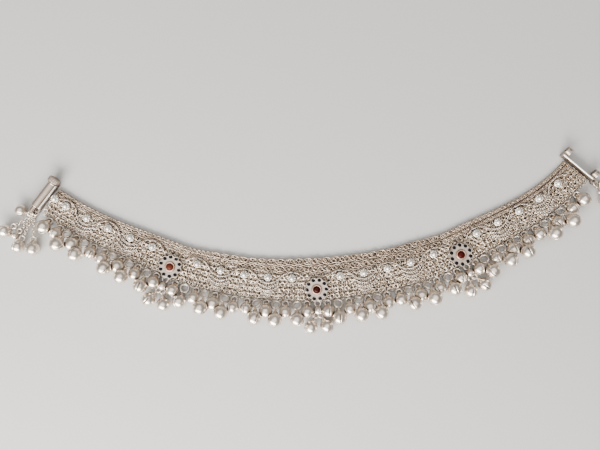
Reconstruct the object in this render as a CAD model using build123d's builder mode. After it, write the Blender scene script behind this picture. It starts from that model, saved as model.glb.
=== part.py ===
from build123d import *
import os
from math import atan2, cos, degrees, pi, radians, sin

# A payal: a silver anklet of woven chain, opened and laid flat on its back in a gentle arc. Millimetres.
# X runs along the anklet, Y towards its plain chain edge, Z away from the surface it lies on. The origin
# is on the flat underside of the woven mesh, below the middle of the anklet.
# Everything is set out from the stud line, the curve on which the round studs are soldered:
# a distance along it, and an offset from it (plus towards the plain chains, minus towards the bells).

os.makedirs("parts", exist_ok=True)

# ---- driving dimensions -------------------------------------------------------------------------
UNIT = 10.4                     # one repeat of the pattern, from stud to stud
UNITS = 24
START_HEADING = -37.0           # degrees from X at the left end
ARC_TURNS = (14, 1, 14, 11, 9, 15, 1, 22)   # degrees turned in each of the equal arcs of the stud line

# Offsets of the edges of the band from the stud line, at numbered units along it.
SECTION_UNITS = (0, 3, 6, 8.5, 12, 16, 18, 21, 24)
PLAIN_EDGE = (4.4, 4.7, 5.6, 7.6, 8.7, 8.4, 6.6, 5.2, 4.7)
MESH_TOP = (1.3, 1.4, 1.7, 2.2, 2.3, 2.2, 1.8, 1.5, 1.4)
MESH_BOTTOM = (-7.8, -8.5, -9.5, -9.6, -9.6, -9.5, -9.4, -8.6, -7.8)

BAND_THICK = 1.6
GAP = 0.15                      # between pieces that are linked or laid on each other
BAND_START = 2.7                # where the woven band meets the left end plate
BAND_END = UNITS * UNIT - 0.3
END_GAP = 0.4                   # between the woven band and the left end plate

FLOWER_UNITS = (6, 12, 18)
FLOWER_OFFSET = -5.0
PUFF_UNITS = (2, 4, 8, 10, 14, 16, 20, 22)
PUFF_RADIUS = 2.5
PUFF_RISE = 0.7
PUFF_STAND = 2.75               # from the lower edge of the mesh to the middle of a puff

STUD_RADIUS = 1.75
STUD_HEIGHT = 1.9
DOME_RADIUS = 1.5               # of the dome on a stud's collar
FIRST_STUD = 4.6                # the extra stud beside the left end plate

ROPE_RADIUS = 0.5
ROPE_SLOPE = 50.0               # degrees at which the rope crosses the stud line
FIRST_ROPE = (6.6, 0.8)         # where the rope starts: distance and offset

PETALS = 10
PETAL_RADIUS = 1.25
PETAL_CIRCLE = 4.15
ROSETTE_THICK = 0.9
DOT_RADIUS = 0.6
DOT_DEPTH = 0.35
ENAMEL_PLAY = 0.02
COLLAR_RADIUS = 2.15
STONE_RADIUS = 1.45
COLLAR_RISE = 0.6
STONE_RISE = 1.05

BELL_PITCH = UNIT * 0.4
BELLS = 60                      # pitches in the whole fringe: the first and last two stay empty
END_SHIFT = 0.6                 # of the bell at each end, away from its neighbour
SPREAD = 0.25                   # by which the bells of a plain group draw together, for each pitch from its middle
SHORT_HANG = 4.8                # from the lower edge of the mesh to the middle of a bell
LONG_HANG = 7.9                 # of the bells that lie on their neighbours
SHORT_RADIUS = 2.65
MIDDLE_HANG = 5.2               # of the middle bell of a plain group, which is larger
MIDDLE_RADIUS = 2.95
LONG_RADIUS = 3.0
RAISED_ANCHOR = 0.25            # further out on its rail for a bell that lies on others
PAIR_HANG = 11.6
PAIR_SPREAD = 3.1
PAIR_KNOT_RADIUS = 1.5
PAIR_KNOT_HANG = 4.6
END_LIFT = 0.8                  # how much shorter the bells hang at the two ends
RAIL_WIDTH = 0.9
RAIL_LOW = 0.4
RAIL_HIGH = 1.3
WIRE_RADIUS = 0.42
LONG_RING = 1.5
SHORT_RING = 1.05
NECK_RADIUS = 0.6

AXIS_HEIGHT = 2.75              # of the clasp's screw above the surface
ROD_RADIUS = 1.0
BORE_RADIUS = 1.06
BARREL_RADIUS = 1.7
BARREL_TOP = 5.0                # offsets from the stud line
BARREL_BOTTOM = -7.6
HEAD_RADIUS = 2.6
HEAD_THICK = 2.3
ROD_REACH = 16.3                # from under the head to the tip
PLATE_THICK = 0.9
PLATE_HEIGHT = 3.0
KNUCKLE_LENGTH = 2.1
KNUCKLE_PLAY = 0.2              # at each end of the left barrel, when the clasp is closed
KNUCKLE_STAND = 2.9             # from the end of the stud line to the axis of the knuckles

STRAND_RADIUS = 0.5
STRAND_RING = 0.85
STRAND_HEIGHT = 0.62
EYE_RADIUS = 1.35               # of the eyes that the bunches of bells hang from
EYE_HOLE = 0.6
EYE_THICK = 1.1
EYE_HEIGHT = 0.7
EYE_DROP = 1.0                  # from the end of the barrel or knuckle to the middle of the eye
LEFT_EYE = 1.2                  # places of the two eyes along the band
RIGHT_EYE = 0.6


# ---- the stud line and what is measured from it ----------------------------------------------------
def walk(distance):
    """X, Y and heading after a distance along the stud line, seen from its left end."""
    run_length = UNITS * UNIT / len(ARC_TURNS)
    x, y, heading = 0.0, 0.0, radians(START_HEADING)
    for turn in ARC_TURNS:
        run = min(max(distance, 0.0), run_length)
        bend = radians(turn) / run_length
        x += (sin(heading + bend * run) - sin(heading)) / bend
        y -= (cos(heading + bend * run) - cos(heading)) / bend
        heading += bend * run
        distance -= run
    return x, y, heading


MIDDLE_X, MIDDLE_Y, _ = walk(UNITS * UNIT / 2)


def spot(distance, offset, height=0.0):
    """The point at a distance along the stud line and an offset from it."""
    x, y, heading = walk(distance)
    return Vector(x - MIDDLE_X - offset * sin(heading), y - MIDDLE_Y + offset * cos(heading), height)


def end_spot(distance, along, offset, height=0.0):
    """A point set out from one end of the stud line, in that end's own directions."""
    heading = walk(distance)[2]
    forward = Vector(cos(heading), sin(heading), 0)
    return spot(distance, offset, height) + forward * along


def band_edge(offsets, distance):
    """An edge of the band: eased from one numbered section to the next."""
    unit = distance / UNIT
    for index in range(len(SECTION_UNITS) - 1):
        first, last = SECTION_UNITS[index], SECTION_UNITS[index + 1]
        if unit <= last:
            share = (1 - cos(pi * (unit - first) / (last - first))) / 2
            return offsets[index] + share * (offsets[index + 1] - offsets[index])
    return offsets[-1]


def row_edge(row, distance):
    """Lower (0), middle (1) and upper (2) edge of the two plain chain rows, gaps left between."""
    mesh_top = band_edge(MESH_TOP, distance)
    return mesh_top + (band_edge(PLAIN_EDGE, distance) - mesh_top) * row / 2


def strip(upper, lower, start, end, runs):
    """The plan of a strip between two edges, each a chain of arcs."""
    step = (end - start) / runs
    with BuildSketch() as plan:
        with BuildLine():
            for run in range(runs):
                s = start + run * step
                places = (s, s + step / 2, s + step)
                ThreePointArc(*[spot(p, upper(p)) for p in places])
                ThreePointArc(*[spot(p, lower(p)) for p in places])
            Line(spot(start, upper(start)), spot(start, lower(start)))
            Line(spot(end, upper(end)), spot(end, lower(end)))
        make_face()
    return plan.sketch


def cap_radius(rim, rise):
    """Radius of the sphere whose cap has this rim radius and this rise."""
    return (rim * rim + rise * rise) / (2 * rise)


def save(piece, name):
    piece.part.label = name
    export_step(piece.part, f"parts/{name}.step")


# ---- the two plain rows of chain, and the woven mesh ---------------------------------------------------
for name, row in (("chain_row_lower", 0), ("chain_row_upper", 1)):
    with BuildPart() as chain_row:
        with BuildSketch():
            add(strip(
                lambda s: row_edge(row + 1, s),
                lambda s: row_edge(row, s) + GAP,
                BAND_START, BAND_END, UNITS,
            ))
        extrude(amount=BAND_THICK)
    save(chain_row, name)

with BuildPart() as puff:
    with BuildSketch(Plane.XZ):
        with BuildLine():
            low = Line((0, BAND_THICK / 2), (PUFF_RADIUS, BAND_THICK / 2))
            rim = Line(low @ 1, (PUFF_RADIUS, BAND_THICK))
            crown = RadiusArc(
                rim @ 1,
                (0, BAND_THICK + PUFF_RISE),
                -cap_radius(PUFF_RADIUS, PUFF_RISE),
            )
            Line(crown @ 1, low @ 0)
        make_face()
    revolve(axis=Axis.Z)

with BuildPart() as mesh_band:
    with BuildSketch():
        add(strip(
            lambda s: band_edge(MESH_TOP, s),
            lambda s: band_edge(MESH_BOTTOM, s),
            BAND_START, BAND_END, UNITS,
        ))
    extrude(amount=BAND_THICK)
    for place in [unit * UNIT for unit in PUFF_UNITS]:
        with Locations(spot(place, band_edge(MESH_BOTTOM, place) + PUFF_STAND)):
            add(puff.part)
save(mesh_band, "mesh_band")


# ---- the twisted rope that winds between the studs ---------------------------------------------------
stops = (0,) + FLOWER_UNITS + (UNITS,)
for number, (before, after) in enumerate(zip(stops, stops[1:]), start=1):
    height = BAND_THICK + GAP + ROPE_RADIUS
    points = [spot((before + 0.5 + step) * UNIT, 0, height) for step in range(after - before)]
    if number == 1:
        points[0] = spot(FIRST_ROPE[0], FIRST_ROPE[1], height)
    first = points[1] - points[0]
    lean = radians(ROPE_SLOPE) + atan2(first.Y, first.X)
    with BuildPart() as rope:
        with BuildLine() as route:
            arc = TangentArc(points[0], points[1], tangent=(cos(lean), sin(lean), 0))
            for point in points[2:]:
                arc = TangentArc(arc @ 1, point, tangent=arc % 1)
        with BuildSketch(Plane(origin=route.line @ 0, z_dir=route.line % 0)):
            Circle(ROPE_RADIUS)
        sweep()
    save(rope, f"rope_{number}")


# ---- studs ------------------------------------------------------------------------------------------------
with BuildPart() as stud:
    with BuildSketch(Plane.XZ):
        with BuildLine():
            foot = Line((0, 0), (STUD_RADIUS, 0))
            side = Line(foot @ 1, (STUD_RADIUS, 0.35))
            ledge = Line(side @ 1, (DOME_RADIUS, 0.5))
            dome = RadiusArc(
                ledge @ 1,
                (0, STUD_HEIGHT),
                -cap_radius(DOME_RADIUS, STUD_HEIGHT - 0.5),
            )
            Line(dome @ 1, foot @ 0)
        make_face()
    revolve(axis=Axis.Z)

stud_places = [FIRST_STUD] + [u * UNIT for u in range(1, UNITS) if u not in FLOWER_UNITS]
for number, place in enumerate(stud_places, start=1):
    with BuildPart() as set_stud:
        with Locations(spot(place, 0, BAND_THICK + GAP)):
            add(stud.part)
    save(set_stud, f"stud_{number:02d}")


# ---- the rosettes, the enamel in their dots and their stones ---------------------------------------------------
with BuildPart() as rosette:
    with BuildSketch():
        Circle(PETAL_CIRCLE + 0.6)
        with PolarLocations(PETAL_CIRCLE, PETALS):
            Circle(PETAL_RADIUS)
    extrude(amount=ROSETTE_THICK)
    with BuildSketch(Plane.XY.offset(ROSETTE_THICK)):
        Circle(COLLAR_RADIUS)
        Circle(STONE_RADIUS + GAP / 2, mode=Mode.SUBTRACT)
    extrude(amount=COLLAR_RISE)
    with BuildSketch(Plane.XY.offset(ROSETTE_THICK)):
        with PolarLocations(PETAL_CIRCLE, PETALS):
            Circle(DOT_RADIUS)
    extrude(amount=-DOT_DEPTH, mode=Mode.SUBTRACT)

with BuildPart() as stone:
    with BuildSketch(Plane.XZ):
        with BuildLine():
            base = Line((0, 0), (STONE_RADIUS, 0))
            girdle = Line(base @ 1, (STONE_RADIUS, 0.3))
            dome = RadiusArc(
                girdle @ 1,
                (0, STONE_RISE),
                -cap_radius(STONE_RADIUS, STONE_RISE - 0.3),
            )
            Line(dome @ 1, base @ 0)
        make_face()
    revolve(axis=Axis.Z)

for number, unit in enumerate(FLOWER_UNITS, start=1):
    turn = degrees(walk(unit * UNIT)[2])
    seat = BAND_THICK + GAP
    with BuildPart() as set_rosette:
        with Locations(Location(spot(unit * UNIT, FLOWER_OFFSET, seat), (0, 0, turn))):
            add(rosette.part)
    save(set_rosette, f"rosette_{number}")
    with BuildPart() as enamel:
        with Locations(Location(spot(unit * UNIT, FLOWER_OFFSET, seat), (0, 0, turn))):
            with PolarLocations(PETAL_CIRCLE, PETALS):
                with Locations((0, 0, ROSETTE_THICK - DOT_DEPTH / 2)):
                    Cylinder(DOT_RADIUS - ENAMEL_PLAY, DOT_DEPTH - 2 * ENAMEL_PLAY)
    save(enamel, f"enamel_{number}")
    with BuildPart() as set_stone:
        with Locations(spot(unit * UNIT, FLOWER_OFFSET, seat + ROSETTE_THICK + GAP / 3)):
            add(stone.part)
    save(set_stone, f"stone_{number}")


# ---- the fringe of bells ----------------------------------------------------------------------------------------
def stir(number, phase):
    """A small unevenness between -1 and 1, the same each time."""
    return sin(number * 2.4 + phase) * cos(number * 1.1 + 2 * phase)


def ring_blank(radius):
    """A flat wire ring of this middle radius, lying about the origin."""
    with BuildPart() as ring:
        with BuildSketch(Plane.XY.offset(-WIRE_RADIUS)):
            Circle(radius + WIRE_RADIUS)
            Circle(radius - WIRE_RADIUS, mode=Mode.SUBTRACT)
        extrude(amount=2 * WIRE_RADIUS)
    return ring.part


RINGS = {radius: ring_blank(radius) for radius in (LONG_RING, SHORT_RING, STRAND_RING)}


def rod(start, end, radius):
    """Adds a round rod between two points to the part being built."""
    with Locations(Plane(origin=start, z_dir=(end - start).normalized())):
        Cylinder(radius, (end - start).length, align=(Align.CENTER, Align.CENTER, Align.MIN))


def bell(anchor, middle, radius, ring_radius, roll):
    """Adds a bell to the part being built: the ring it hangs by, its neck and its round body."""
    down = (middle - anchor).normalized()
    side = down.cross(Vector(0, 0, 1)).normalized()
    upright = side.cross(down).normalized()
    face = upright * cos(radians(roll)) + side * sin(radians(roll))
    with Locations(Plane(origin=anchor + down * ring_radius, x_dir=down, z_dir=face)):
        add(RINGS[ring_radius])
    rod(anchor + down * (2 * ring_radius), middle, NECK_RADIUS)
    with Locations(middle):
        Sphere(radius)


def edge_spot(distance, hang, height):
    """A point at a distance below the lower edge of the mesh."""
    return spot(distance, band_edge(MESH_BOTTOM, distance) - hang, height)


def lift(distance):
    """How much shorter the bells hang here: nothing in the middle, END_LIFT at the ends."""
    share = 2 * distance / (UNITS * UNIT) - 1
    return END_LIFT * share * share


RAIL_OFFSET = GAP + RAIL_WIDTH / 2
RAIL_HEIGHT = (RAIL_LOW + RAIL_HIGH) / 2

group_edges = [BAND_START + 1.5] + [u * UNIT for u in range(1, UNITS, 2)] + [BAND_END]

# Every bell of the fringe: its group, its kind, and its place, hang, radius and number.
hung = []
for number, (start, end) in enumerate(zip(group_edges, group_edges[1:]), start=1):
    first_bell = max(int(start / BELL_PITCH + 0.99), 2)
    last_bell = min(int(end / BELL_PITCH), BELLS - 2)
    flower = any(start < unit * UNIT < end for unit in FLOWER_UNITS)
    for index in range(first_bell, last_bell + 1):
        steps = index - (first_bell + last_bell) / 2
        place = index * BELL_PITCH + 0.12 * stir(index, 1)
        if number == 1:
            place -= END_SHIFT
        elif number == len(group_edges) - 1:
            place += END_SHIFT
        elif not flower:
            place -= SPREAD * steps
        uneven = 0.25 * stir(index, 2) - lift(place)
        if flower and steps == 0:
            hung.append((number, "knot", place, PAIR_KNOT_HANG, PAIR_KNOT_RADIUS, index))
            for side in (-1, 1):
                low_hang = PAIR_HANG + 0.4 * stir(index + side, 3)
                hung.append((number, "pair", place + side * PAIR_SPREAD, low_hang, LONG_RADIUS, index))
        elif (index - first_bell) % 2 == (0 if flower else 1):
            hung.append((number, "long", place, LONG_HANG + 2 * uneven, LONG_RADIUS, index))
        elif steps == 0:
            hung.append((number, "short", place, MIDDLE_HANG + uneven, MIDDLE_RADIUS, index))
        else:
            hung.append((number, "short", place, SHORT_HANG + uneven, SHORT_RADIUS, index))

lying = [
    (edge_spot(place, hang, radius), radius)
    for _, kind, place, hang, radius, _ in hung if kind in ("short", "pair")
]


def resting(place, hang, radius):
    """Where a bell comes to rest on the ones lying beside it, or on the floor."""
    height = radius
    for middle, its_radius in lying:
        apart = edge_spot(place, hang, middle.Z) - middle
        reach = radius + its_radius + GAP
        if apart.length < reach:
            height = max(height, middle.Z + (reach ** 2 - apart.length ** 2) ** 0.5)
    return edge_spot(place, hang, height)


for number, (start, end) in enumerate(zip(group_edges, group_edges[1:]), start=1):
    with BuildPart() as fringe:
        with BuildSketch(Plane.XY.offset(RAIL_LOW)):
            add(strip(
                lambda s: band_edge(MESH_BOTTOM, s) - GAP,
                lambda s: band_edge(MESH_BOTTOM, s) - GAP - RAIL_WIDTH,
                start + GAP / 2, end - GAP / 2, 2,
            ))
        extrude(amount=RAIL_HIGH - RAIL_LOW)
        for group, kind, place, hang, radius, index in hung:
            if group != number:
                continue
            anchor = edge_spot(place, RAIL_OFFSET, RAIL_HEIGHT)
            if kind == "pair":
                low = edge_spot(place, hang, radius)
                rod(knot, low, NECK_RADIUS)
                with Locations(low):
                    Sphere(radius)
            elif kind == "knot":
                knot = edge_spot(place, hang, radius)
                bell(anchor, knot, radius, SHORT_RING, 0)
            elif kind == "long":
                anchor = edge_spot(place, RAIL_OFFSET + RAISED_ANCHOR, RAIL_HEIGHT)
                bell(anchor, resting(place, hang, radius), radius, LONG_RING, 20 * stir(index, 4))
            else:
                bell(anchor, edge_spot(place, hang, radius), radius, SHORT_RING, 20 * stir(index, 4))
    save(fringe, f"bell_fringe_{number:02d}")


# ---- the clasp ------------------------------------------------------------------------------------------------------
def end_plane(distance, along, offset, height):
    """A plane across the band at one end: its normal points towards the plain chains."""
    heading = walk(distance)[2]
    return Plane(
        origin=end_spot(distance, along, offset, height),
        x_dir=(cos(heading), sin(heading), 0),
        z_dir=(-sin(heading), cos(heading), 0),
    )


RIGHT = UNITS * UNIT
PLATE_NEAR = BAND_START - END_GAP       # where the left plate faces the band
BARREL_LENGTH = BARREL_TOP - BARREL_BOTTOM

with BuildPart() as left_end:
    with BuildSketch(end_plane(0, 0, BARREL_BOTTOM, AXIS_HEIGHT)):
        Circle(BARREL_RADIUS)
    extrude(amount=BARREL_LENGTH)
    plate_middle = PLATE_NEAR - PLATE_THICK / 2
    with BuildSketch(end_plane(0, plate_middle, BARREL_BOTTOM, PLATE_HEIGHT / 2 + 0.1)):
        Rectangle(PLATE_THICK, PLATE_HEIGHT)
    extrude(amount=BARREL_LENGTH)
    # the eye that the left bunch of bells hangs from
    with Locations(end_spot(0, LEFT_EYE, BARREL_BOTTOM - EYE_DROP, EYE_HEIGHT)):
        Cylinder(EYE_RADIUS, EYE_THICK)
        Cylinder(EYE_HOLE, EYE_THICK, mode=Mode.SUBTRACT)
    with BuildSketch(end_plane(0, 0, BARREL_BOTTOM, AXIS_HEIGHT)):
        Circle(BORE_RADIUS)
    extrude(amount=BARREL_LENGTH, mode=Mode.SUBTRACT)
save(left_end, "left_end_barrel")

HEAD_UNDER = BARREL_TOP + GAP
with BuildPart() as screw:
    with BuildSketch(end_plane(0, 0, HEAD_UNDER, AXIS_HEIGHT)):
        Circle(ROD_RADIUS)
    extrude(amount=-ROD_REACH)
    with BuildSketch(end_plane(0, 0, HEAD_UNDER, AXIS_HEIGHT)):
        Circle(HEAD_RADIUS)
    extrude(amount=HEAD_THICK)
    rims = screw.edges().filter_by(lambda edge: abs(edge.length - 2 * pi * HEAD_RADIUS) < 0.01)
    fillet(rims, 0.6)
save(screw, "screw_pin")

KNUCKLE_TOP = BARREL_TOP + KNUCKLE_PLAY
KNUCKLE_BOTTOM = BARREL_BOTTOM - KNUCKLE_PLAY
RIGHT_TOP = KNUCKLE_TOP + KNUCKLE_LENGTH
RIGHT_BOTTOM = KNUCKLE_BOTTOM - KNUCKLE_LENGTH
PLATE_OUT = PLATE_THICK + 0.05

with BuildPart() as right_end:
    with BuildSketch(end_plane(RIGHT, PLATE_OUT / 2, RIGHT_BOTTOM, PLATE_HEIGHT / 2 + 0.1)):
        Rectangle(PLATE_THICK, PLATE_HEIGHT)
    extrude(amount=RIGHT_TOP - RIGHT_BOTTOM)
    for low in (RIGHT_BOTTOM, KNUCKLE_TOP):
        with BuildSketch(end_plane(RIGHT, KNUCKLE_STAND, low, AXIS_HEIGHT)):
            Circle(BARREL_RADIUS)
        extrude(amount=KNUCKLE_LENGTH)
        with BuildSketch(end_plane(RIGHT, KNUCKLE_STAND / 2 + 0.1, low, AXIS_HEIGHT - 0.5)):
            Rectangle(KNUCKLE_STAND - 0.3, 1.6)
        extrude(amount=KNUCKLE_LENGTH)
    # the eye that the right bunch of bells hangs from
    with Locations(end_spot(RIGHT, RIGHT_EYE, RIGHT_BOTTOM - EYE_DROP, EYE_HEIGHT)):
        Cylinder(EYE_RADIUS, EYE_THICK)
        Cylinder(EYE_HOLE, EYE_THICK, mode=Mode.SUBTRACT)
    with BuildSketch(end_plane(RIGHT, KNUCKLE_STAND, RIGHT_BOTTOM, AXIS_HEIGHT)):
        Circle(BORE_RADIUS)
    extrude(amount=RIGHT_TOP - RIGHT_BOTTOM, mode=Mode.SUBTRACT)
save(right_end, "right_end_knuckles")


# ---- the bunches of bells at the two ends ---------------------------------------------------------------------------
# Places are from the eye of the end plate: along the band, outwards from it, and the bell's radius.
LEFT_BELLS = ((-5.0, -4.1, 2.5), (-5.0, -15.2, 2.9), (-0.6, -14.6, 1.6), (3.6, -17.2, 2.7), (9.3, -14.0, 2.9))
RIGHT_BELLS = ((5.2, -4.6, 2.4), (4.4, -12.6, 2.8), (-1.2, -15.4, 2.7), (-3.6, -8.2, 2.6))


def bunch(distance, along, offset, places, name):
    """A bunch: strands of fine chain from one ring, each with a bell at its end."""
    ring_drop = EYE_RADIUS + STRAND_RING + WIRE_RADIUS + GAP
    hub = end_spot(distance, along, offset - ring_drop, STRAND_HEIGHT)
    with BuildPart() as strands:
        with Locations(hub):
            add(RINGS[STRAND_RING])
        for reach, fall, radius in places:
            middle = end_spot(distance, along + reach, offset + fall, radius)
            path = middle - hub
            neck = hub + path * (1 - (radius + 2.2) / path.length)
            rod(hub, neck, STRAND_RADIUS)
            bell(neck, middle, radius, STRAND_RING, 0)
    save(strands, name)


bunch(0, LEFT_EYE, BARREL_BOTTOM - EYE_DROP, LEFT_BELLS, "left_bell_bunch")
bunch(RIGHT, RIGHT_EYE, RIGHT_BOTTOM - EYE_DROP, RIGHT_BELLS, "right_bell_bunch")
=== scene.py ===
from math import atan2, cos, pi, radians, sin, sqrt

import bpy
import numpy as np
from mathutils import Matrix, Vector


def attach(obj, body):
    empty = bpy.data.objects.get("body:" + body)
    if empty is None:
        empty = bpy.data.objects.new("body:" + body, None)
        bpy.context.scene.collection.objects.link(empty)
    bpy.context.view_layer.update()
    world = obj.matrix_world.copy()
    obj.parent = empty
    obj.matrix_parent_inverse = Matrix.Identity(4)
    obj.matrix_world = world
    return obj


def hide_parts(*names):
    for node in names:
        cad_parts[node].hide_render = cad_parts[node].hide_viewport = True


# A silver payal lying open: woven links, a twisted rope, studs, enamelled rosettes, bells and a screw clasp.
# Lengths are in millimetres and set out from the stud line, as in the CAD. Meshes are made in metres.

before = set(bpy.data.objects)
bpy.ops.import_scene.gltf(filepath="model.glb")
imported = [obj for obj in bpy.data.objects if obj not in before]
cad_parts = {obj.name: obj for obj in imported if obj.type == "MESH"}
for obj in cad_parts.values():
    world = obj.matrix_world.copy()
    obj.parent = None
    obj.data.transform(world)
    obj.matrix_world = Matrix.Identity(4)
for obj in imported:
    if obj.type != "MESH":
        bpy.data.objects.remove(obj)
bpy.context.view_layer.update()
rng = np.random.default_rng(7)
MM = 0.001
UP = np.array((0.0, 0.0, 1.0))

# ---- the layout, as in the CAD -------------------------------------------------------------------
UNIT = 10.4                     # from stud to stud
UNITS = 24
LENGTH = UNIT * UNITS
START_HEADING = -37.0           # degrees from X at the left end
ARC_TURNS = (14, 1, 14, 11, 9, 15, 1, 22)   # degrees turned in each of the equal arcs of the stud line

# Offsets of the band's edges from the stud line, at numbered units along it.
SECTION_UNITS = (0, 3, 6, 8.5, 12, 16, 18, 21, 24)
PLAIN_EDGE = (4.4, 4.7, 5.6, 7.6, 8.7, 8.4, 6.6, 5.2, 4.7)
MESH_TOP = (1.3, 1.4, 1.7, 2.2, 2.3, 2.2, 1.8, 1.5, 1.4)
MESH_BOTTOM = (-7.8, -8.5, -9.5, -9.6, -9.6, -9.5, -9.4, -8.6, -7.8)

BAND_THICK = 1.6
GAP = 0.15
BAND_START = 2.7
BAND_END = LENGTH - 0.3
FLOWER_UNITS = (6, 12, 18)
FLOWER_OFFSET = -5.0
PUFF_UNITS = (2, 4, 8, 10, 14, 16, 20, 22)


def walk(distance):
    """X, Y and heading after a distance along the stud line, seen from its left end."""
    run_length = LENGTH / len(ARC_TURNS)
    x, y, heading = 0.0, 0.0, radians(START_HEADING)
    for turn in ARC_TURNS:
        run = min(max(distance, 0.0), run_length)
        bend = radians(turn) / run_length
        x += (sin(heading + bend * run) - sin(heading)) / bend
        y -= (cos(heading + bend * run) - cos(heading)) / bend
        heading += bend * run
        distance -= run
    return x, y, heading


MIDDLE = walk(LENGTH / 2)


def spot(distance, offset, height=0.0):
    """The point at a distance along the stud line and an offset from it."""
    x, y, heading = walk(distance)
    return np.array((x - MIDDLE[0] - offset * sin(heading), y - MIDDLE[1] + offset * cos(heading), height))


def directions(distance):
    """Unit vectors along the band and across it towards the plain chains."""
    heading = walk(distance)[2]
    return np.array((cos(heading), sin(heading), 0.0)), np.array((-sin(heading), cos(heading), 0.0))


def end_spot(distance, along, offset, height=0.0):
    """A point set out from one end of the stud line, in that end's own directions."""
    return spot(distance, offset, height) + along * directions(distance)[0]


def band_edge(offsets, distance):
    """An edge of the band: eased from one numbered section to the next."""
    unit = distance / UNIT
    for index in range(len(SECTION_UNITS) - 1):
        first, last = SECTION_UNITS[index], SECTION_UNITS[index + 1]
        if unit <= last:
            share = (1 - cos(pi * (unit - first) / (last - first))) / 2
            return offsets[index] + share * (offsets[index + 1] - offsets[index])
    return offsets[-1]


def row_edge(row, distance):
    """Lower (0), middle (1) and upper (2) edge of the two plain chain rows."""
    mesh_top = band_edge(MESH_TOP, distance)
    return mesh_top + (band_edge(PLAIN_EDGE, distance) - mesh_top) * row / 2


# ---- mesh building -------------------------------------------------------------------------------
LOWEST = 0.03                   # the least height above the floor


def add_object(name, data):
    """A new object in the scene."""
    piece = bpy.data.objects.new(name, data)
    bpy.context.scene.collection.objects.link(piece)
    return piece


class Heap:
    """Collects small shapes and joins them into one mesh object; one that lifts keeps them off the floor."""

    def __init__(self, lifts=False):
        self.points, self.faces, self.count = [], [], 0
        self.lifts = lifts

    def add(self, shape, place=None, turn=None, scale=1.0):
        """Adds a shape (points, faces), turned by the rows of turn and moved to place."""
        points, faces = shape
        points = points * scale
        if turn is not None:
            points = points @ turn
        if place is not None:
            points = points + place
        if self.lifts:
            points = points + UP * max(LOWEST - points[:, 2].min(), 0.0)
        self.points.append(points)
        self.faces += [tuple(corner + self.count for corner in face) for face in faces]
        self.count += len(points)

    def joined(self):
        """The whole heap as one shape."""
        return np.vstack(self.points), self.faces

    def make(self, name, material, body, slot, replaces=(), smooth=True):
        points, faces = self.joined()
        mesh = bpy.data.meshes.new(name)
        mesh.from_pydata((points * MM).tolist(), [], faces)
        mesh.validate()
        if smooth:
            mesh.polygons.foreach_set("use_smooth", [True] * len(mesh.polygons))
        mesh.materials.append(material)
        piece = add_object(name, mesh)
        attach(piece, body)
        if replaces:
            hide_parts(*replaces)
        return piece


def angles(count):
    """So many angles, evenly round a turn."""
    return np.arange(count) * 2 * pi / count


def grid_faces(rows, columns, wrap_rows=False):
    """Quads of a grid of points, row by row, its columns going round."""
    faces = []
    for row in range(rows if wrap_rows else rows - 1):
        for column in range(columns):
            next_row, next_column = (row + 1) % rows, (column + 1) % columns
            faces.append((
                row * columns + column,
                row * columns + next_column,
                next_row * columns + next_column,
                next_row * columns + column,
            ))
    return faces


def ring_shape(radius, wire, around=14, section=6, stretch=1.0, flat=1.0):
    """A wire ring about Z: stretched along X, its wire flattened along Z."""
    points = []
    for a in angles(around):
        for b in angles(section):
            points.append((
                (radius * stretch + wire * cos(b)) * cos(a),
                (radius + wire * cos(b)) * sin(a),
                wire * flat * sin(b),
            ))
    return np.array(points), grid_faces(around, section, wrap_rows=True)


def lathe_shape(profile, around=24):
    """A closed turned shape: profile is (radius, height) from bottom to top, its ends on the axis."""
    (_, low), (_, high) = profile[0], profile[-1]
    rows = profile[1:-1]
    points = [(0, 0, low)]
    for radius, height in rows:
        points += [(radius * cos(a), radius * sin(a), height) for a in angles(around)]
    points.append((0, 0, high))
    faces = [tuple(corner + 1 for corner in face) for face in grid_faces(len(rows), around)]
    last = len(points) - 1
    for column in range(around):
        following = (column + 1) % around
        faces.append((0, 1 + following, 1 + column))
        faces.append((last, last - around + column, last - around + following))
    return np.array(points, float), faces


def dome_rows(radius, rise, base, slopes):
    """Profile rows of a dome above base, at these angles up from its rim."""
    return [(radius * cos(a), base + rise * sin(a)) for a in np.radians(slopes)]


def grain_shape(radius, slopes, around):
    """A small ball."""
    return lathe_shape([(0, -radius)] + dome_rows(radius, radius, 0, slopes) + [(0, radius)], around)


def tube_shape(path, radius, section=8):
    """A round wire along a path of points; radius is a number or one for each point."""
    path = np.asarray(path, float)
    radii = np.broadcast_to(radius, len(path))
    tangents = np.gradient(path, axis=0)
    tangents /= np.linalg.norm(tangents, axis=1)[:, None]
    side = np.cross(tangents[0], UP)
    if np.linalg.norm(side) < 0.1:
        side = np.cross(tangents[0], (0, 1.0, 0))
    points = []
    for place, tangent, r in zip(path, tangents, radii):
        side = side - tangent * side.dot(tangent)
        side /= np.linalg.norm(side)
        up = np.cross(side, tangent)
        for b in angles(section):
            points.append(place + r * (cos(b) * side + sin(b) * up))
    faces = grid_faces(len(path), section)
    faces.append(tuple(range(section))[::-1])
    faces.append(tuple(range(len(points) - section, len(points))))
    return np.array(points), faces


def turn_to(x_dir, z_dir):
    """Rows that turn a shape's X and Z towards these directions."""
    z = np.asarray(z_dir, float)
    z = z / np.linalg.norm(z)
    x = np.asarray(x_dir, float)
    x = x - z * x.dot(z)
    x = x / np.linalg.norm(x)
    return np.array((x, np.cross(z, x), z))


def tilted(distance, lean_across=0.0, lean_along=0.0, spin=0.0):
    """Rows that lay a flat shape on the band, leaned by degrees about the two directions of the band."""
    along, across = directions(distance)
    a, b, c = radians(lean_across), radians(lean_along), radians(spin)
    x = along * cos(c) + across * sin(c)
    normal = UP * cos(a) * cos(b) + across * sin(a) + along * sin(b)
    return turn_to(x, normal)


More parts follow.
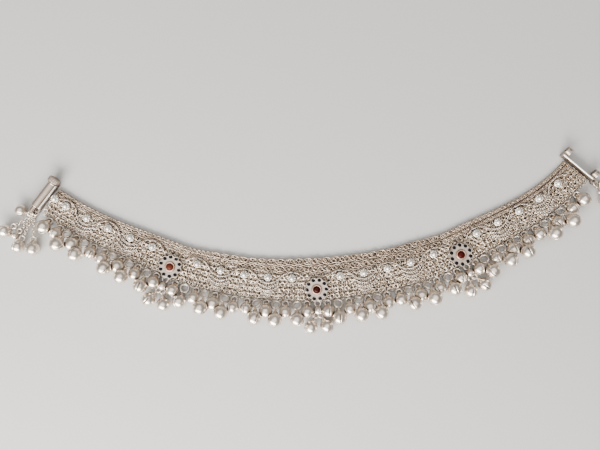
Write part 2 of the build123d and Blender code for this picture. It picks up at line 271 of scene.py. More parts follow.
def shaken(values, spreads):
    """The values, each with a random part of its own spread added."""
    return [value + rng.normal(0, spread) for value, spread in zip(values, spreads)]


def rolled(direction, degrees_round):
    """A unit vector square to a direction, turned from upright by degrees, with the two it lies between."""
    side = np.cross(direction, UP)
    side /= np.linalg.norm(side)
    upright = np.cross(side, direction)
    roll = radians(degrees_round)
    return upright * cos(roll) + side * sin(roll), upright, side


# ---- materials -----------------------------------------------------------------------------------
SHADE_REACH = 0.9               # how near a neighbour has to be to darken a surface with painted shade
RELIEF_DEPTH = 0.05


class Looks:
    """A node material being made: the tree, its shader, and the object's own coordinates."""

    def __init__(self, name):
        self.material = bpy.data.materials.new(name)
        self.material.use_nodes = True
        self.tree = self.material.node_tree
        self.shader = self.tree.nodes["Principled BSDF"]
        self.place = self.node("ShaderNodeTexCoord")

    def node(self, kind, links=(), operation=None, **values):
        """A node, its (output, input) links, and its input values by name, with _ for a space."""
        node = self.tree.nodes.new(kind)
        if operation:
            node.operation = operation
        for socket, value in values.items():
            node.inputs[socket.replace("_", " ")].default_value = value
        for output, socket in links:
            self.tree.links.new(output, node.inputs[socket])
        return node

    def noise(self, scale, detail):
        links = [(self.place.outputs["Object"], "Vector")]
        return self.node("ShaderNodeTexNoise", links, Scale=scale, Detail=detail).outputs[0]

    def upward(self, coordinate):
        """The Z part of the object's position or normal."""
        return self.node("ShaderNodeSeparateXYZ", [(self.place.outputs[coordinate], 0)]).outputs["Z"]

    def range(self, value, **limits):
        return self.node("ShaderNodeMapRange", [(value, "Value")], **limits).outputs[0]

    def product(self, first, second):
        return self.node("ShaderNodeMath", [(first, 0), (second, 1)], "MULTIPLY").outputs[0]

    def ramp(self, factor, *stops):
        """A colour ramp of two (position, colour) stops."""
        node = self.node("ShaderNodeValToRGB", [(factor, 0)])
        for element, (position, colour) in zip(node.color_ramp.elements, stops):
            element.position = position
            element.color = (*colour, 1)
        return node.outputs[0]

    def drive(self, socket, output):
        """Links an output to one of the shader's own sockets."""
        self.tree.links.new(output, self.shader.inputs[socket])


def silver(
    name, bright, dark, roughness, patina_and_shade_heights, shaded_sides, grain_scale, relief, mottle_scale=190.0, mottle_depth=0.5,
):
    """Silver, brightest on upward faces in the open. It is darker low down, which is partly oxide and partly
    painted shade, and darker on upright faces and near other metal, which is painted shade.

    patina gives the heights where that darkening is full and where it has gone, sides the share of the
    brightness kept on upright faces, and roughness the least and the most."""
    looks = Looks(name)
    looks.shader.inputs["Metallic"].default_value = 1.0
    # Painted shade: darker low down (partly oxide), on upright faces, and where other metal is near (ambient
    # occlusion).
    height = looks.range(looks.upward("Object"), From_Min=patina_and_shade_heights[0] * MM, From_Max=patina_and_shade_heights[1] * MM)
    side_shade = looks.range(looks.upward("Normal"), To_Min=shaded_sides)
    hollow_shade = looks.node("ShaderNodeAmbientOcclusion", Distance=SHADE_REACH * MM)
    hollow_shade.samples = 6
    patina_and_shade = looks.product(height, looks.product(side_shade, hollow_shade.outputs["AO"]))
    cloud = looks.noise(mottle_scale, detail=4.0)
    mottle = looks.node("ShaderNodeMath", [(cloud, 0), (patina_and_shade, 2)], "MULTIPLY_ADD")
    mottle.inputs[1].default_value = mottle_depth
    stops = (0.5 * mottle_depth + 0.1, dark), (1.0, bright)
    looks.drive("Base Color", looks.ramp(mottle.outputs[0], *stops))
    grain = looks.noise(grain_scale, detail=3.0)
    looks.drive("Roughness", looks.range(grain, To_Min=roughness[0], To_Max=roughness[1]))
    bump = looks.node("ShaderNodeBump", [(grain, "Height")], Strength=relief, Distance=RELIEF_DEPTH * MM)
    looks.drive("Normal", bump.outputs[0])
    return looks.material


WOVEN = silver(
    "woven_silver_metal", bright=(0.83, 0.715, 0.60), dark=(0.115, 0.086, 0.063), roughness=(0.22, 0.40),
    patina_and_shade_heights=(-0.7, 1.4), shaded_sides=0.6, grain_scale=2400, relief=0.35, mottle_scale=700.0, mottle_depth=0.9,
)
PLAIN = silver(
    "plain_silver_metal", bright=(0.66, 0.54, 0.44), dark=(0.075, 0.054, 0.039), roughness=(0.24, 0.40),
    patina_and_shade_heights=(-0.5, 1.5), shaded_sides=0.6, grain_scale=2400, relief=0.35, mottle_scale=700.0, mottle_depth=0.9,
)
SWAG = silver(
    "swag_silver_metal", bright=(0.90, 0.80, 0.70), dark=(0.190, 0.148, 0.115), roughness=(0.24, 0.40),
    patina_and_shade_heights=(-0.3, 1.8), shaded_sides=0.6, grain_scale=2400, relief=0.35, mottle_scale=700.0, mottle_depth=0.8,
)
BRIGHT = silver(
    "bright_silver_metal", bright=(1.0, 0.97, 0.92), dark=(0.38, 0.31, 0.25), roughness=(0.34, 0.50),
    patina_and_shade_heights=(0.4, 2.2), shaded_sides=0.95, grain_scale=1800, relief=0.3,
)
ROSETTE = silver(
    "rosette_silver_metal", bright=(0.56, 0.485, 0.425), dark=(0.17, 0.13, 0.105), roughness=(0.30, 0.50),
    patina_and_shade_heights=(1.4, 2.6), shaded_sides=0.6, grain_scale=2200, relief=0.6,
)
COLLAR = silver(
    "collar_silver_metal", bright=(0.70, 0.485, 0.395), dark=(0.26, 0.16, 0.12), roughness=(0.38, 0.52),
    patina_and_shade_heights=(1.4, 2.8), shaded_sides=0.7, grain_scale=1500, relief=0.2,
)
BELL = silver(
    "bell_silver_metal", bright=(0.86, 0.775, 0.69), dark=(0.22, 0.18, 0.148), roughness=(0.24, 0.40),
    patina_and_shade_heights=(-2.5, 1.6), shaded_sides=0.7, grain_scale=1500, relief=0.3,
)
CLASP = silver(
    "clasp_silver_metal", bright=(0.53, 0.455, 0.395), dark=(0.12, 0.092, 0.072), roughness=(0.38, 0.54),
    patina_and_shade_heights=(-1.5, 1.5), shaded_sides=0.6, grain_scale=1700, relief=0.35,
)


def glossy(name, colour, speckle, roughness, coat):
    """Enamel or stone: a deep colour with faint mottling under a clear gloss."""
    looks = Looks(name)
    cloud = looks.noise(scale=900.0, detail=5.0)
    looks.drive("Base Color", looks.ramp(cloud, (0.3, colour), (0.75, speckle)))
    looks.shader.inputs["Roughness"].default_value = roughness
    looks.shader.inputs["Specular IOR Level"].default_value = 0.2
    looks.shader.inputs["Coat Weight"].default_value = coat
    looks.shader.inputs["Coat Roughness"].default_value = 0.05
    return looks.material


ENAMEL = glossy("navy_enamel_gloss", (0.002, 0.0023, 0.0036), (0.005, 0.006, 0.010), roughness=0.35, coat=0.1)
STONES = (
    glossy("stone_red_1", (0.110, 0.022, 0.012), (0.155, 0.040, 0.024), roughness=0.38, coat=0.03),
    glossy("stone_red_2", (0.032, 0.0016, 0.0008), (0.052, 0.004, 0.002), roughness=0.33, coat=0.03),
    glossy("stone_red_3", (0.052, 0.0040, 0.0016), (0.080, 0.009, 0.004), roughness=0.33, coat=0.03),
)


# ---- the woven mesh ------------------------------------------------------------------------------
LINK_PITCH = 2.08
LINK_ROWS = 8
MESH_END_MARGIN = 1.1           # from the mesh's edges to the middles of the nearest links
MESH_BOTTOM_MARGIN = 1.1
MESH_TOP_MARGIN = 1.0
TOP_LAYER, LOWER_LAYER = 1.02, 0.62     # heights of the links' middles

# Both sides of a flower, from and to these distances, the links lie over further, in a herringbone.
HERRINGBONE = (6.5, 14)
HERRINGBONE_TOP = -2.5
PLAIN_LEAN = (20, 0)            # degrees across and along the band
HERRINGBONE_LEAN = (14, 32)
STANDING_LEAN = 66
LEAN_SPREAD = (11, 13, 8)       # degrees across, along and round
PLACE_SPREAD = (0.12, 0.09, 0.05)
STANDING_SPREAD = 0.16

# The share of the holes with a link standing across them, which is less near a flower.
SPARSE = (5.5, 15)
SPARSE_SHARE, FULL_SHARE = 0.25, 0.65


def beside_flower(distance, reach):
    """Whether the nearest flower is farther than the first number of reach and nearer than the second."""
    return reach[0] < min(abs(distance - unit * UNIT) for unit in FLOWER_UNITS) < reach[1]


def weave(start, end):
    """Interlinked rings in staggered rows, leaning one way and the other row by row, over a lower layer,
    with small links standing across some of their holes."""
    heap = Heap(lifts=True)
    upper = ring_shape(0.90, 0.26, around=14, section=6)
    lower = ring_shape(0.80, 0.25, around=10, section=4)
    standing = ring_shape(0.50, 0.21, around=9, section=5)
    first = int(np.ceil(start / LINK_PITCH))
    last = int(np.ceil(end / LINK_PITCH))
    for index in range(first, last):
        for row in range(LINK_ROWS):
            distance = (index + 0.5 * (row % 2)) * LINK_PITCH
            if not BAND_START + MESH_END_MARGIN < distance < BAND_END - MESH_END_MARGIN:
                continue
            low = band_edge(MESH_BOTTOM, distance) + MESH_BOTTOM_MARGIN
            high = band_edge(MESH_TOP, distance) - MESH_TOP_MARGIN
            offset = low + (high - low) * row / (LINK_ROWS - 1)
            side = 1 if row % 2 else -1
            herringbone = beside_flower(distance, HERRINGBONE) and offset < HERRINGBONE_TOP
            lean, slant = (side * degrees for degrees in (HERRINGBONE_LEAN if herringbone else PLAIN_LEAN))
            turn = tilted(distance, *shaken((lean, slant, 0), LEAN_SPREAD))
            place = spot(*shaken((distance, offset, TOP_LAYER), PLACE_SPREAD))
            heap.add(upper, place, turn)
            # The lower layer lies low, where the material's painted shade makes it dark, so the holes read
            # dark.
            under = tilted(distance, -0.7 * lean, rng.normal(0, 3))
            heap.add(lower, spot(distance + LINK_PITCH / 2, offset, LOWER_LAYER), under)
            if rng.random() < (SPARSE_SHARE if beside_flower(distance, SPARSE) else FULL_SHARE):
                stand = STANDING_LEAN * side + rng.normal(0, 12)
                turn = tilted(distance, stand, 0) if rng.random() < 0.5 else tilted(distance, 0, stand)
                heap.add(standing, place + np.append(rng.normal(0, STANDING_SPREAD, 2), -0.02), turn)
    return heap


weave(0, LENGTH / 2).make("woven_mesh_left", WOVEN, "anklet", "woven_silver", ("mesh_band",))
weave(LENGTH / 2, LENGTH).make("woven_mesh_right", WOVEN, "anklet", "woven_silver", ("mesh_band",))


# ---- the puffed swags: closer links heaped in bows below the rope --------------------------------
BOWS = (                        # offset of each bow's lowest point, half its width, and its height
    (-3.0, 3.8, 1.7), (-3.8, 4.3, 1.85), (-4.6, 4.6, 2.0), (-5.4, 4.6, 2.1),
    (-6.2, 4.3, 2.1), (-7.0, 3.9, 2.0), (-7.8, 3.2, 1.85), (-8.5, 2.3, 1.7),
)
BOW_PITCH = 0.8
BOW_RISE = 1.8                  # of its ends above its lowest point
BOW_FALL = 0.4                  # in height, from its middle to its ends
BOW_TURN = 45                   # degrees that its end links are turned, to follow the bow
BOW_LEAN = 35
SWAG_MARGIN = 1.0


def swags():
    """Rows of small links, one way and the other by turns, that hang in bows."""
    heap = Heap(lifts=True)
    link = ring_shape(0.55, 0.2, around=12, section=6)
    for unit in PUFF_UNITS:
        centre = unit * UNIT
        bottom = band_edge(MESH_BOTTOM, centre)
        for bow, (depth, half_width, height) in enumerate(BOWS):
            for step in np.linspace(-1, 1, 2 * int(half_width / BOW_PITCH) + 1):
                distance = centre + step * half_width
                offset = depth + BOW_RISE * step * step
                if offset < bottom + SWAG_MARGIN:
                    continue
                lean = BOW_LEAN if bow % 2 else -BOW_LEAN
                turn = tilted(distance, *shaken((lean, 30 * step), (8, 6)), BOW_TURN * step)
                place = spot(*shaken((distance, offset), (0.05, 0.05)), height - BOW_FALL * step * step)
                heap.add(link, place, turn)
    return heap


swags().make("mesh_swags", SWAG, "anklet", "woven_silver")


# ---- the two plain chain rows --------------------------------------------------------------------
LONG_PITCH = 4.16
LONG_WIRE = 0.22
LONG_MARGIN = 2.3
WIDE_ROW = 2.3                  # a narrower row has links half as long
LINE_PITCH = 1.05               # between the lines of small links across a row
SMALL_PITCH, EDGE_PITCH = 1.0, 1.1
SMALL_HEIGHT, EDGE_HEIGHT = 0.48, 0.30
SMALL_LEAN = 26
RAISED_SHARE, RAISED_BY = 0.25, 0.35    # how many small links lie on another, and how high


def chain_row(row):
    """A flat chain: long lapped links that scallop its edge, over close rows of small ones."""
    heap = Heap(lifts=True)
    small = ring_shape(0.52, 0.25, around=9, section=4)
    for index, distance in enumerate(np.arange(BAND_START + 1.3, BAND_END - 1.2, SMALL_PITCH)):
        low = row_edge(row, distance) + GAP
        width = row_edge(row + 1, distance) - low
        lines = max(round(width / LINE_PITCH), 2)
        for line in range(lines):
            offset = low + 0.6 + max(width - 1.35, 0.1) * (line + 0.5) / lines
            lean = SMALL_LEAN if (index + line) % 2 else -SMALL_LEAN
            lean, slant, spin = shaken((lean, 0, 0), (8, 12, 15))
            across = SMALL_PITCH / 2 * (line % 2)
            place = spot(*shaken((distance + across, offset), (0.08, 0.06)), SMALL_HEIGHT)
            heap.add(small, place, tilted(distance, lean, slant, spin))
            if rng.random() < RAISED_SHARE:
                heap.add(small, place + UP * RAISED_BY, tilted(distance, -lean, rng.normal(0, 12)))
    # Small links sunk low along each row's lower edge: the painted shade low down makes them a dark line
    # between the rows.
    for distance in np.arange(BAND_START + 1.5, BAND_END - 1.4, EDGE_PITCH):
        place = spot(distance, row_edge(row, distance) + GAP / 2, EDGE_HEIGHT)
        heap.add(small, place, tilted(distance, rng.normal(0, 4)))
    distance = BAND_START + LONG_MARGIN
    while distance < BAND_END - LONG_MARGIN:
        low = row_edge(row, distance) + GAP
        width = row_edge(row + 1, distance) - low
        pitch = LONG_PITCH if width > WIDE_ROW else LONG_PITCH / 2
        radius = width / 2 - LONG_WIRE - 0.02
        stretch = (0.52 * pitch - LONG_WIRE) / radius
        long_link = ring_shape(radius, LONG_WIRE, around=22, section=6, stretch=stretch, flat=0.8)
        for shift, drop, height in ((0, 0, 1.18), (pitch / 2, 0.12 * width, 0.98)):
            turn = tilted(distance + shift, *shaken((5, 0, 0), (3, 5, 3)))
            heap.add(long_link, spot(distance + shift, low + width / 2 - drop, height), turn)
        distance += pitch
    return heap


chain_row(0).make("plain_chain_lower", PLAIN, "anklet", "woven_silver", ("chain_row_lower",))
chain_row(1).make("plain_chain_upper", PLAIN, "anklet", "woven_silver", ("chain_row_upper",))


# ---- the twisted rope ----------------------------------------------------------------------------
ROPE_SLOPE = 50.0               # degrees between a run's start and the line to its next stop
ROPE_START = (6.6, 0.8)
ROPE_RADIUS = 0.5
ROPE_SINK = 0.42                # into the links below it
ROPE_PITCH = 0.42
ROPE_TWIST = 52                 # degrees from link to link


def rope_path(points, lean, step=0.12):
    """Points along a chain of arcs, each tangent to the one before, from point to point."""
    path = []
    heading = lean
    for first, last in zip(points, points[1:]):
        chord = last - first
        length = sqrt(chord[0] ** 2 + chord[1] ** 2)
        half = heading - atan2(chord[1], chord[0])
        count = max(int(length / step), 4)
        radius = length / (2 * sin(half))
        for part in range(count):
            a = heading - 2 * half * part / count
            x = first[0] + radius * (sin(heading) - sin(a))
            y = first[1] - radius * (cos(heading) - cos(a))
            path.append((x, y, first[2]))
        heading -= 2 * half
    path.append(tuple(points[-1]))
    return np.array(path)


def rope_chain(path):
    """Small rings strung along a path, each turned a little further round it than the one before."""
    heap = Heap()
    link = ring_shape(0.30, 0.15, around=10, section=5)
    reaches = np.concatenate(([0], np.cumsum(np.linalg.norm(np.diff(path, axis=0), axis=1))))

    def path_point(reach):
        return np.array([np.interp(reach, reaches, path[:, axis]) for axis in range(3)])

    count = int(reaches[-1] / ROPE_PITCH)
    for k in range(count + 1):
        reach = reaches[-1] * k / count
        ahead, behind = path_point(reach + 0.1), path_point(reach - 0.1)
        tangent = (ahead - behind) / np.linalg.norm(ahead - behind)
        roll = radians(ROPE_TWIST) * k
        facing = np.cross(tangent, UP) * cos(roll) + UP * sin(roll)
        axis = tangent * 0.8 + facing * 0.35 + np.cross(tangent, facing) * 0.6
        heap.add(link, path_point(reach), turn_to(facing, axis))
    return heap


rope_height = BAND_THICK + GAP + ROPE_RADIUS - ROPE_SINK
rope_stops = (0,) + FLOWER_UNITS + (UNITS,)
for number, (before, after) in enumerate(zip(rope_stops, rope_stops[1:]), start=1):
    points = [spot((before + 0.5 + step) * UNIT, 0, rope_height) for step in range(after - before)]
    if number == 1:
        points[0] = spot(*ROPE_START, rope_height)
    first = points[1] - points[0]
    lean = radians(ROPE_SLOPE) + atan2(first[1], first[0])
    heap = rope_chain(rope_path(points, lean))
    heap.make(f"rope_chain_{number}", SWAG, "anklet", "woven_silver", (f"rope_{number}",))


# ---- studs ---------------------------------------------------------------------------------------
FIRST_STUD = 4.6
STUD_GRAINS = 10
STUD_WREATH = 1.32              # radius of the ring of grains
STUD_WREATH_HEIGHT = 0.72


def stud_shape():
    """A high dome on a ledge, in a wreath of grains."""
    heap = Heap()
    ledge = [(0, 0), (1.68, 0), (1.74, 0.12), (1.72, 0.26), (1.64, 0.34), (1.25, 0.42)]
    dome = dome_rows(1.2, 1.3, 0.6, (10, 25, 40, 55, 70, 82))
    heap.add(lathe_shape(ledge + dome + [(0, 1.9)], around=24))
    grain = grain_shape(0.4, (-40, 0, 35, 65), around=10)
    for a in angles(STUD_GRAINS):
        heap.add(grain, np.array((STUD_WREATH * cos(a), STUD_WREATH * sin(a), STUD_WREATH_HEIGHT)))
    return heap.joined()


stud = stud_shape()
stud_places = [FIRST_STUD] + [unit * UNIT for unit in range(1, UNITS) if unit not in FLOWER_UNITS]
for number, distance in enumerate(stud_places, start=1):
    turn = tilted(distance, *shaken((0, 0), (4, 4)), rng.uniform(0, 40))
    heap = Heap()
    heap.add(stud, spot(distance, 0, BAND_THICK + GAP), turn)
    heap.make(f"grained_stud_{number:02d}", BRIGHT, "anklet", "bright_silver", (f"stud_{number:02d}",))


# ---- rosettes ------------------------------------------------------------------------------------
PETALS = 10
PETAL_CIRCLE = 4.15
PETAL_RADIUS = 1.25
PLATE_TOP = 0.88
PLATE_GRAINS = 26
PLATE_WREATH = 2.42


def rosette_outline(angle):
    """Distance from the middle to the rim, lobe by lobe."""
    step = 2 * pi / PETALS
    near = (angle + step / 2) % step - step / 2
    beside = max(PETAL_RADIUS ** 2 - (PETAL_CIRCLE * sin(near)) ** 2, 0)
    return max(PETAL_CIRCLE * cos(near) + sqrt(beside), PETAL_CIRCLE + 0.6)


def rosette_shape(around=160):
    """A lobed plate with a rounded rim, dished a little inside it, with its cells and grains."""
    outline = [rosette_outline(a) for a in angles(around)]
    disc = [2.0] * around
    rows = [(disc, 1, 0.0)]
    rim = (
        (0.97, 0.0), (1.0, 0.15), (1.0, 0.72), (0.985, 0.86), (0.965, 0.9), (0.945, 0.88), (0.925, 0.85),
        (0.62, 0.85),
    )
    rows += [(outline, share, height) for share, height in rim]
    rows.append((disc, 1, PLATE_TOP))
    points = []
    for reaches, share, height in rows:
        for a, reach in zip(angles(around), reaches):
            points.append((reach * share * cos(a), reach * share * sin(a), height))
    faces = grid_faces(len(rows), around)
    faces.append(tuple(range(around))[::-1])
    faces.append(tuple(range(len(points) - around, len(points))))
    heap = Heap()
    heap.add((np.array(points), faces))
    cell = ring_shape(0.84, 0.1, around=20, section=6)
    for a in angles(PETALS):
        heap.add(cell, np.array((PETAL_CIRCLE * cos(a), PETAL_CIRCLE * sin(a), 0.87)))
    grain = grain_shape(0.15, (-45, 0, 45), around=8)
    for a in angles(PLATE_GRAINS):
        heap.add(grain, np.array((PLATE_WREATH * cos(a), PLATE_WREATH * sin(a), PLATE_TOP)))
    return heap.joined()


rosette = rosette_shape()
collar = lathe_shape([
    (0, 0.8), (2.2, 0.8), (2.22, 1.0), (2.12, 1.2), (1.98, 1.42), (1.8, 1.5), (1.62, 1.46), (1.55, 1.3),
    (1.5, 0.95), (0, 0.9),
], around=40)
dot = lathe_shape([(0, 0.5), (0.74, 0.5), (0.74, 0.90), (0.62, 0.96), (0.34, 1.0), (0, 1.01)], around=18)
cabochon_foot = [(0, 0.9), (1.42, 0.9), (1.45, 1.15)]
cabochon_dome = dome_rows(1.45, 0.75, 1.2, (15, 30, 45, 60, 75))
cabochon = lathe_shape(cabochon_foot + cabochon_dome + [(0, 1.96)], around=32)

for number, unit in enumerate(FLOWER_UNITS, start=1):
    seat = spot(unit * UNIT, FLOWER_OFFSET, BAND_THICK + GAP)
    turn = tilted(unit * UNIT, *shaken((0, 0), (1.5, 1.5)))
    plate, rim, dots, gem = Heap(), Heap(), Heap(), Heap()
    plate.add(rosette, seat, turn)
    rim.add(collar, seat, turn)
    gem.add(cabochon, seat, turn)
    for a in angles(PETALS):
        dots.add(dot, seat + np.array((PETAL_CIRCLE * cos(a), PETAL_CIRCLE * sin(a), 0)) @ turn, turn)
    plate.make(f"lobed_rosette_{number}", ROSETTE, "anklet", "bright_silver", (f"rosette_{number}",))
    rim.make(f"stone_collar_{number}", COLLAR, "anklet", "bright_silver")
    dots.make(f"enamel_dots_{number}", ENAMEL, "anklet", "navy_enamel", (f"enamel_{number}",))
    gem.make(f"cabochon_{number}", STONES[number - 1], "anklet", "red_stone", (f"stone_{number}",))


# ---- bells, where the CAD has them ---------------------------------------------------------------
BELL_PITCH = UNIT * 0.4
BELLS = 60                      # places along the stud line, not all of them used
END_SHIFT = 0.6                 # of the bells in the two end groups, towards the ends
SPREAD = 0.25                   # towards the middle of a plain group, for each place from it
SHORT_HANG, MIDDLE_HANG, LONG_HANG = 4.8, 5.2, 7.9
SHORT_RADIUS, MIDDLE_RADIUS, LONG_RADIUS = 2.65, 2.95, 3.0
LONG_RING, SHORT_RING, PAIR_RING = 1.5, 1.05, 0.9
RING_SWELL = 1.19               # how much wider the visible rings are than the CAD's
RAISED_ANCHOR = 0.25
PAIR_HANG, PAIR_SPREAD = 11.6, 3.1
PAIR_KNOT_RADIUS, PAIR_KNOT_HANG = 1.5, 4.6
END_LIFT = 0.8
RAIL_OFFSET = 0.6
RAIL_HEIGHT = 0.85
RAIL_PITCH = 1.25
RAIL_MARGIN = 0.7
RAIL_LEAN = 35
PLACE_STIR, HANG_STIR, PAIR_STIR, ROLL_STIR = 0.12, 0.25, 0.4, 20
SWELL, KNOT_SWELL = 1.05, 1.3   # how much larger the visible balls are than the CAD's
NECK_RADII = (0.5, 0.52, 0.6, 0.78, 1.1)
SHORTEST_NECK = 0.9

SLIT = radians(4.5)             # half of its width
SLIT_DEPTH = 0.26
SLIT_TOP = radians(12)


def stir(number, phase):
    """A small unevenness between -1 and 1, as in the CAD."""
    return sin(number * 2.4 + phase) * cos(number * 1.1 + 2 * phase)


def lift(distance):
    """How much higher the fringe hangs towards both ends."""
    share = 2 * distance / LENGTH - 1
    return END_LIFT * share * share


def edge_spot(distance, hang, height):
    """A point that hangs below the band's lower edge."""
    return spot(distance, band_edge(MESH_BOTTOM, distance) - hang, height)


def ball_radius(latitude, a, variant):
    """The radius of a bell of radius 1: its seam, its dents and its slit."""
    r = 0.985 + (0.012 if abs(latitude) < radians(1) else 0.0)
    r += 0.014 * cos(latitude) * sin(2 * a + 1.7 * variant) * cos(3 * latitude + variant)
    r += 0.008 * cos(latitude) * sin(5 * a + 2.3 * variant) * sin(6 * latitude + 1.3 * variant)
    from_slit = abs((a + pi / 2) % pi - pi / 2)
    if latitude < SLIT_TOP and from_slit < SLIT * 0.8:
        r -= SLIT_DEPTH
    return r


def ball_shape(variant, around=28):
    """A hollow bell's body of radius 1: its neck on +Z, a seam at its waist, a slit across its foot."""
    turns = [a for a in np.linspace(0, 2 * pi, around, endpoint=False) if abs(sin(a)) > sin(SLIT * 1.6)]
    turns += [side + d for side in (0, pi) for d in (-SLIT, -SLIT * 0.55, 0, SLIT * 0.55, SLIT)]
    turns.sort()
    latitudes = np.radians((-84, -76, -66, -54, -42, -30, -18, -7, -3, 0, 3, 7, 18, 30, 42, 54, 64))
    points = []
    for latitude in latitudes:
        for a in turns:
            r = ball_radius(latitude, a, variant)
            points.append((r * cos(latitude) * cos(a), r * cos(latitude) * sin(a), r * sin(latitude)))
    columns = len(turns)
    faces = grid_faces(len(latitudes), columns)
    foot = len(points)
    points.append((0, 0, -0.96))
    faces += [(foot, (column + 1) % columns, column) for column in range(columns)]
    low = foot - columns
    for radius, height in ((0.40, 0.95), (0.34, 1.03), (0.33, 1.12), (0.25, 1.15), (0.22, 1.26)):
        high = len(points)
        points += [(radius * cos(a), radius * sin(a), height) for a in turns]
        for column in range(columns):
            following = (column + 1) % columns
            faces.append((low + column, low + following, high + following, high + column))
        low = high
    tip = len(points)
    points.append((0, 0, 1.27))
    faces += [(low + column, low + (column + 1) % columns, tip) for column in range(columns)]
    return np.array(points), faces


BALLS = [ball_shape(variant) for variant in range(4)]
RAIL_LINK = ring_shape(0.5, 0.2, around=12, section=6, stretch=1.3)


def hang_bell(heap, anchor, middle, radius, ring_radius, roll, swell=1.0):
    """A bell: the ring it hangs by, a tapering loop at its neck and its body, swelled without rising."""
    down = (middle - anchor) / np.linalg.norm(middle - anchor)
    face, upright, side = rolled(down, roll)
    ring = ring_shape(RING_SWELL * ring_radius, 0.32 + 0.12 * ring_radius, around=22, section=8)
    heap.add(ring, anchor + down * ring_radius, turn_to(down, face))
    start = anchor + down * (2 * ring_radius)
    gap = np.linalg.norm(middle - start) - radius
    if gap > SHORTEST_NECK:
        count = len(NECK_RADII)
        path = [start + down * (gap * k / (count - 1)) for k in range(count)]
        heap.add(tube_shape(path, NECK_RADII, section=12))
    spin = rng.uniform(0, pi)
    heap.add(
        BALLS[rng.integers(4)],
        middle - UP * (radius * (swell - 1)),
        turn_to(side * cos(spin) + upright * sin(spin), -down),
        radius * swell * rng.uniform(0.98, 1.01),
    )


group_edges = [BAND_START + 1.5] + [unit * UNIT for unit in range(1, UNITS, 2)] + [BAND_END]
groups = list(zip(group_edges, group_edges[1:]))

# Every bell of the fringe: its group, kind, place, hang, radius and number.
fringe = []
for number, (start, end) in enumerate(groups, start=1):
    first_bell = max(int(start / BELL_PITCH + 0.99), 2)
    last_bell = min(int(end / BELL_PITCH), BELLS - 2)
    flower = any(start < unit * UNIT < end for unit in FLOWER_UNITS)
    for index in range(first_bell, last_bell + 1):
        steps = index - (first_bell + last_bell) / 2
        place = index * BELL_PITCH + PLACE_STIR * stir(index, 1)
        if number == 1:
            place -= END_SHIFT
        elif number == len(groups):
            place += END_SHIFT
        elif not flower:
            place -= SPREAD * steps
        uneven = HANG_STIR * stir(index, 2) - lift(place)
        if flower and steps == 0:
            fringe.append((number, "knot", place, PAIR_KNOT_HANG, PAIR_KNOT_RADIUS, index))
            for side in (-1, 1):
                low_hang = PAIR_HANG + PAIR_STIR * stir(index + side, 3)
                fringe.append((number, "pair", place + side * PAIR_SPREAD, low_hang, LONG_RADIUS, index))
        elif (index - first_bell) % 2 == (0 if flower else 1):
            fringe.append((number, "long", place, LONG_HANG + 2 * uneven, LONG_RADIUS, index))
        elif steps == 0:
            fringe.append((number, "short", place, MIDDLE_HANG + uneven, MIDDLE_RADIUS, index))
        else:
            fringe.append((number, "short", place, SHORT_HANG + uneven, SHORT_RADIUS, index))

lying = [
    (edge_spot(place, hang, radius), radius)
    for _, kind, place, hang, radius, _ in fringe if kind in ("short", "pair")
]


def resting(place, hang, radius):
    """Where a bell comes to rest on the ones lying beside it, or on the floor."""
    height = radius
    for middle, its_radius in lying:
        apart = np.linalg.norm(edge_spot(place, hang, middle[2]) - middle)
        reach = radius + its_radius + GAP
        if apart < reach:
            height = max(height, middle[2] + sqrt(reach ** 2 - apart ** 2))
    return edge_spot(place, hang, height)


for number, (start, end) in enumerate(groups, start=1):
    heap = Heap(lifts=True)
    rail_links = int((end - start - 0.4) / RAIL_PITCH)
    for k in range(rail_links):
        place = start + RAIL_MARGIN + (end - start - 2 * RAIL_MARGIN) * k / (rail_links - 1)
        lean = (RAIL_LEAN if k % 2 else -RAIL_LEAN) + rng.normal(0, 6)
        heap.add(RAIL_LINK, edge_spot(place, RAIL_OFFSET, 0.8), tilted(place, lean, 10))
    for group, kind, place, hang, radius, index in fringe:
        if group != number:
            continue
        anchor = edge_spot(place, RAIL_OFFSET, RAIL_HEIGHT)
        middle = edge_spot(place, hang, radius)
        roll = ROLL_STIR * stir(index, 4)
        if kind == "knot":
            knot = middle
            hang_bell(heap, anchor, knot, radius, SHORT_RING, 0, KNOT_SWELL)
        elif kind == "pair":
            out = (middle - knot) / np.linalg.norm(middle - knot)
            hang_bell(heap, knot + out * 1.4, middle, radius, PAIR_RING, rng.uniform(-30, 30))
        elif kind == "long":
            anchor = edge_spot(place, RAIL_OFFSET + RAISED_ANCHOR, RAIL_HEIGHT)
            hang_bell(heap, anchor, resting(place, hang, radius), radius, LONG_RING, roll, SWELL)
        else:
            hang_bell(heap, anchor, middle, radius, SHORT_RING, roll, SWELL)
    heap.make(f"bells_{number:02d}", BELL, "anklet", "bell_silver", (f"bell_fringe_{number:02d}",))


# ---- the bunches ---------------------------------------------------------------------------------
BARREL_BOTTOM = -7.6
RIGHT_BOTTOM = -9.9
LEFT_EYE, RIGHT_EYE = 1.2, 0.6  # how far along from the ends of the stud line
EYE_DROP = 1.0
EYE_RADIUS = 1.35
STRAND_RING = 0.85
WIRE_RADIUS = 0.42
HUB_DROP = EYE_RADIUS + STRAND_RING + WIRE_RADIUS + GAP
STRAND_HEIGHT = 0.62
STRAND_PITCH = 1.12
STRAND_ROLL = 38
NECK_REACH = 2.2                # from a bell to the end of its strand

# Each bell's place from its eye, along and across the band, and its radius.
LEFT_BELLS = ((-5.0, -4.1, 2.5), (-5.0, -15.2, 2.9), (-0.6, -14.6, 1.6), (3.6, -17.2, 2.7), (9.3, -14.0, 2.9))
RIGHT_BELLS = ((5.2, -4.6, 2.4), (4.4, -12.6, 2.8), (-1.2, -15.4, 2.7), (-3.6, -8.2, 2.6))


